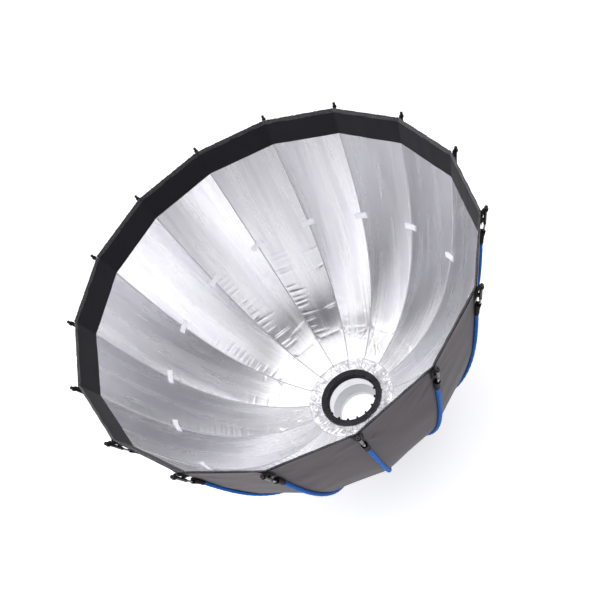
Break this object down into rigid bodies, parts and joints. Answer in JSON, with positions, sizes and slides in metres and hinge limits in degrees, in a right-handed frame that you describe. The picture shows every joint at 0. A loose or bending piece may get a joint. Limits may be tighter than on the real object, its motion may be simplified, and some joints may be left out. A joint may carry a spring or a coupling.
{
  "type": "octabox",
  "caption": "Deep umbrella-style octabox: sprung ribs fold a silver-lined canopy onto a bayonet speed ring.",
  "frame": {"origin": "centre of the bayonet sleeve's rear end, on which the part stands", "axes": "+Z along the light axis from the speed ring to the open mouth, +X towards rib_01"},
  "size_m": [0.8844, 0.8844, 0.6063],
  "materials": {
    "spring_steel": "drawn spring wire, satin",
    "black_plastic": "fine moulded grain",
    "canopy_cloth": "coated polyester, satin dark grey outside",
    "silver_cloth": "metallised reflective lining",
    "aluminium": "turned",
    "white_plastic": "smooth moulded",
    "zinc_steel": "zinc plated",
    "blue_webbing": "woven sleeve, satin",
    "black_webbing": "woven",
    "black_lining": "matt woven lip band"
  },
  "bodies": {
    "root": {"bayonet_ring": "aluminium", "inner_tube": "white_plastic", "hub_housing": "black_plastic", "hinge_wire": "spring_steel", "latch_ring": "black_plastic", "front_ring": "black_plastic", "throat_collar": "silver_cloth", "hub_screw_1": "zinc_steel", "hub_screw_2": "zinc_steel", "hub_screw_3": "zinc_steel", "hub_screw_4": "zinc_steel"},
    "rib_01": {"rib_01": "spring_steel", "tip_clip_01": "black_plastic"},
    "rib_02": {"rib_02": "spring_steel", "tip_clip_02": "black_plastic"},
    "rib_03": {"rib_03": "spring_steel", "tip_clip_03": "black_plastic"},
    "rib_04": {"rib_04": "spring_steel", "tip_clip_04": "black_plastic"},
    "rib_05": {"rib_05": "spring_steel", "tip_clip_05": "black_plastic"},
    "rib_06": {"rib_06": "spring_steel", "tip_clip_06": "black_plastic"},
    "rib_07": {"rib_07": "spring_steel", "tip_clip_07": "black_plastic"},
    "rib_08": {"rib_08": "spring_steel", "tip_clip_08": "black_plastic"},
    "rib_09": {"rib_09": "spring_steel", "tip_clip_09": "black_plastic"},
    "rib_10": {"rib_10": "spring_steel", "tip_clip_10": "black_plastic"},
    "rib_11": {"rib_11": "spring_steel", "tip_clip_11": "black_plastic"},
    "rib_12": {"rib_12": "spring_steel", "tip_clip_12": "black_plastic"},
    "rib_13": {"rib_13": "spring_steel", "tip_clip_13": "black_plastic"},
    "rib_14": {"rib_14": "spring_steel", "tip_clip_14": "black_plastic"},
    "rib_15": {"rib_15": "spring_steel", "tip_clip_15": "black_plastic"},
    "rib_16": {"rib_16": "spring_steel", "tip_clip_16": "black_plastic"},
    "panel_01": {"panel_01": "canopy_cloth"},
    "panel_02": {"panel_02": "canopy_cloth"},
    "panel_03": {"panel_03": "canopy_cloth"},
    "panel_04": {"panel_04": "canopy_cloth"},
    "panel_05": {"panel_05": "canopy_cloth"},
    "panel_06": {"panel_06": "canopy_cloth"},
    "panel_07": {"panel_07": "canopy_cloth"},
    "panel_08": {"panel_08": "canopy_cloth"},
    "panel_09": {"panel_09": "canopy_cloth"},
    "panel_10": {"panel_10": "canopy_cloth"},
    "panel_11": {"panel_11": "canopy_cloth"},
    "panel_12": {"panel_12": "canopy_cloth"},
    "panel_13": {"panel_13": "canopy_cloth"},
    "panel_14": {"panel_14": "canopy_cloth"},
    "panel_15": {"panel_15": "canopy_cloth"},
    "panel_16": {"panel_16": "canopy_cloth"}
  },
  "joints": [
    {"name": "rib_fold_01", "type": "hinge", "parent": "root", "child": "rib_01", "pos_m": [0.081, 0, 0.0693], "axis": [0, -1, 0], "range_deg": [0, 34], "deforming": ["throat_collar"]},
    {"name": "rib_fold_02", "type": "hinge", "parent": "root", "child": "rib_02", "pos_m": [0.07483, 0.031, 0.0693], "axis": [0.3827, -0.9239, 0], "range_deg": [0, 34]},
    {"name": "rib_fold_03", "type": "hinge", "parent": "root", "child": "rib_03", "pos_m": [0.05728, 0.05728, 0.0693], "axis": [0.7071, -0.7071, 0], "range_deg": [0, 34]},
    {"name": "rib_fold_04", "type": "hinge", "parent": "root", "child": "rib_04", "pos_m": [0.031, 0.07483, 0.0693], "axis": [0.9239, -0.3827, 0], "range_deg": [0, 34]},
    {"name": "rib_fold_05", "type": "hinge", "parent": "root", "child": "rib_05", "pos_m": [0, 0.081, 0.0693], "axis": [1, 0, 0], "range_deg": [0, 34]},
    {"name": "rib_fold_06", "type": "hinge", "parent": "root", "child": "rib_06", "pos_m": [-0.031, 0.07483, 0.0693], "axis": [0.9239, 0.3827, 0], "range_deg": [0, 34]},
    {"name": "rib_fold_07", "type": "hinge", "parent": "root", "child": "rib_07", "pos_m": [-0.05728, 0.05728, 0.0693], "axis": [0.7071, 0.7071, 0], "range_deg": [0, 34]},
    {"name": "rib_fold_08", "type": "hinge", "parent": "root", "child": "rib_08", "pos_m": [-0.07483, 0.031, 0.0693], "axis": [0.3827, 0.9239, 0], "range_deg": [0, 34]},
    {"name": "rib_fold_09", "type": "hinge", "parent": "root", "child": "rib_09", "pos_m": [-0.081, 0, 0.0693], "axis": [0, 1, 0], "range_deg": [0, 34]},
    {"name": "rib_fold_10", "type": "hinge", "parent": "root", "child": "rib_10", "pos_m": [-0.07483, -0.031, 0.0693], "axis": [-0.3827, 0.9239, 0], "range_deg": [0, 34]},
    {"name": "rib_fold_11", "type": "hinge", "parent": "root", "child": "rib_11", "pos_m": [-0.05728, -0.05728, 0.0693], "axis": [-0.7071, 0.7071, 0], "range_deg": [0, 34]},
    {"name": "rib_fold_12", "type": "hinge", "parent": "root", "child": "rib_12", "pos_m": [-0.031, -0.07483, 0.0693], "axis": [-0.9239, 0.3827, 0], "range_deg": [0, 34]},
    {"name": "rib_fold_13", "type": "hinge", "parent": "root", "child": "rib_13", "pos_m": [0, -0.081, 0.0693], "axis": [-1, 0, 0], "range_deg": [0, 34]},
    {"name": "rib_fold_14", "type": "hinge", "parent": "root", "child": "rib_14", "pos_m": [0.031, -0.07483, 0.0693], "axis": [-0.9239, -0.3827, 0], "range_deg": [0, 34]},
    {"name": "rib_fold_15", "type": "hinge", "parent": "root", "child": "rib_15", "pos_m": [0.05728, -0.05728, 0.0693], "axis": [-0.7071, -0.7071, 0], "range_deg": [0, 34]},
    {"name": "rib_fold_16", "type": "hinge", "parent": "root", "child": "rib_16", "pos_m": [0.07483, -0.031, 0.0693], "axis": [-0.3827, -0.9239, 0], "range_deg": [0, 34]},
    {"name": "panel_turn_01", "type": "hinge", "parent": "rib_01", "child": "panel_01", "pos_m": [0.081, 0.01611, 0.0693], "axis": [0.9395, 0.1869, -0.2872], "range_deg": [0, 13.09], "deforming": ["panel_01"]},
    {"name": "panel_turn_02", "type": "hinge", "parent": "rib_02", "child": "panel_02", "pos_m": [0.06867, 0.04588, 0.0693], "axis": [0.7964, 0.5322, -0.2872], "range_deg": [0, 13.09], "deforming": ["panel_02"]},
    {"name": "panel_turn_03", "type": "hinge", "parent": "rib_03", "child": "panel_03", "pos_m": [0.04588, 0.06867, 0.0693], "axis": [0.5322, 0.7964, -0.2872], "range_deg": [0, 13.09], "deforming": ["panel_03"]},
    {"name": "panel_turn_04", "type": "hinge", "parent": "rib_04", "child": "panel_04", "pos_m": [0.01611, 0.081, 0.0693], "axis": [0.1869, 0.9395, -0.2872], "range_deg": [0, 13.09], "deforming": ["panel_04"]},
    {"name": "panel_turn_05", "type": "hinge", "parent": "rib_05", "child": "panel_05", "pos_m": [-0.01611, 0.081, 0.0693], "axis": [-0.1869, 0.9395, -0.2872], "range_deg": [0, 13.09], "deforming": ["panel_05"]},
    {"name": "panel_turn_06", "type": "hinge", "parent": "rib_06", "child": "panel_06", "pos_m": [-0.04588, 0.06867, 0.0693], "axis": [-0.5322, 0.7964, -0.2872], "range_deg": [0, 13.09], "deforming": ["panel_06"]},
    {"name": "panel_turn_07", "type": "hinge", "parent": "rib_07", "child": "panel_07", "pos_m": [-0.06867, 0.04588, 0.0693], "axis": [-0.7964, 0.5322, -0.2872], "range_deg": [0, 13.09], "deforming": ["panel_07"]},
    {"name": "panel_turn_08", "type": "hinge", "parent": "rib_08", "child": "panel_08", "pos_m": [-0.081, 0.01611, 0.0693], "axis": [-0.9395, 0.1869, -0.2872], "range_deg": [0, 13.09], "deforming": ["panel_08"]},
    {"name": "panel_turn_09", "type": "hinge", "parent": "rib_09", "child": "panel_09", "pos_m": [-0.081, -0.01611, 0.0693], "axis": [-0.9395, -0.1869, -0.2872], "range_deg": [0, 13.09], "deforming": ["panel_09"]},
    {"name": "panel_turn_10", "type": "hinge", "parent": "rib_10", "child": "panel_10", "pos_m": [-0.06867, -0.04588, 0.0693], "axis": [-0.7964, -0.5322, -0.2872], "range_deg": [0, 13.09], "deforming": ["panel_10"]},
    {"name": "panel_turn_11", "type": "hinge", "parent": "rib_11", "child": "panel_11", "pos_m": [-0.04588, -0.06867, 0.0693], "axis": [-0.5322, -0.7964, -0.2872], "range_deg": [0, 13.09], "deforming": ["panel_11"]},
    {"name": "panel_turn_12", "type": "hinge", "parent": "rib_12", "child": "panel_12", "pos_m": [-0.01611, -0.081, 0.0693], "axis": [-0.1869, -0.9395, -0.2872], "range_deg": [0, 13.09], "deforming": ["panel_12"]},
    {"name": "panel_turn_13", "type": "hinge", "parent": "rib_13", "child": "panel_13", "pos_m": [0.01611, -0.081, 0.0693], "axis": [0.1869, -0.9395, -0.2872], "range_deg": [0, 13.09], "deforming": ["panel_13"]},
    {"name": "panel_turn_14", "type": "hinge", "parent": "rib_14", "child": "panel_14", "pos_m": [0.04588, -0.06867, 0.0693], "axis": [0.5322, -0.7964, -0.2872], "range_deg": [0, 13.09], "deforming": ["panel_14"]},
    {"name": "panel_turn_15", "type": "hinge", "parent": "rib_15", "child": "panel_15", "pos_m": [0.06867, -0.04588, 0.0693], "axis": [0.7964, -0.5322, -0.2872], "range_deg": [0, 13.09], "deforming": ["panel_15"]},
    {"name": "panel_turn_16", "type": "hinge", "parent": "rib_16", "child": "panel_16", "pos_m": [0.081, -0.01611, 0.0693], "axis": [0.9395, -0.1869, -0.2872], "range_deg": [0, 13.09], "deforming": ["panel_16"]}
  ],
  "couplings": [
    {"joint": "rib_fold_02", "follows": "rib_fold_01", "ratio": 1},
    {"joint": "rib_fold_03", "follows": "rib_fold_01", "ratio": 1},
    {"joint": "rib_fold_04", "follows": "rib_fold_01", "ratio": 1},
    {"joint": "rib_fold_05", "follows": "rib_fold_01", "ratio": 1},
    {"joint": "rib_fold_06", "follows": "rib_fold_01", "ratio": 1},
    {"joint": "rib_fold_07", "follows": "rib_fold_01", "ratio": 1},
    {"joint": "rib_fold_08", "follows": "rib_fold_01", "ratio": 1},
    {"joint": "rib_fold_09", "follows": "rib_fold_01", "ratio": 1},
    {"joint": "rib_fold_10", "follows": "rib_fold_01", "ratio": 1},
    {"joint": "rib_fold_11", "follows": "rib_fold_01", "ratio": 1},
    {"joint": "rib_fold_12", "follows": "rib_fold_01", "ratio": 1},
    {"joint": "rib_fold_13", "follows": "rib_fold_01", "ratio": 1},
    {"joint": "rib_fold_14", "follows": "rib_fold_01", "ratio": 1},
    {"joint": "rib_fold_15", "follows": "rib_fold_01", "ratio": 1},
    {"joint": "rib_fold_16", "follows": "rib_fold_01", "ratio": 1},
    {"joint": "panel_turn_01", "follows": "rib_fold_01", "ratio": 0.38469},
    {"joint": "panel_turn_02", "follows": "rib_fold_01", "ratio": 0.38469},
    {"joint": "panel_turn_03", "follows": "rib_fold_01", "ratio": 0.38469},
    {"joint": "panel_turn_04", "follows": "rib_fold_01", "ratio": 0.38469},
    {"joint": "panel_turn_05", "follows": "rib_fold_01", "ratio": 0.38469},
    {"joint": "panel_turn_06", "follows": "rib_fold_01", "ratio": 0.38469},
    {"joint": "panel_turn_07", "follows": "rib_fold_01", "ratio": 0.38469},
    {"joint": "panel_turn_08", "follows": "rib_fold_01", "ratio": 0.38469},
    {"joint": "panel_turn_09", "follows": "rib_fold_01", "ratio": 0.38469},
    {"joint": "panel_turn_10", "follows": "rib_fold_01", "ratio": 0.38469},
    {"joint": "panel_turn_11", "follows": "rib_fold_01", "ratio": 0.38469},
    {"joint": "panel_turn_12", "follows": "rib_fold_01", "ratio": 0.38469},
    {"joint": "panel_turn_13", "follows": "rib_fold_01", "ratio": 0.38469},
    {"joint": "panel_turn_14", "follows": "rib_fold_01", "ratio": 0.38469},
    {"joint": "panel_turn_15", "follows": "rib_fold_01", "ratio": 0.38469},
    {"joint": "panel_turn_16", "follows": "rib_fold_01", "ratio": 0.38469}
  ]
}
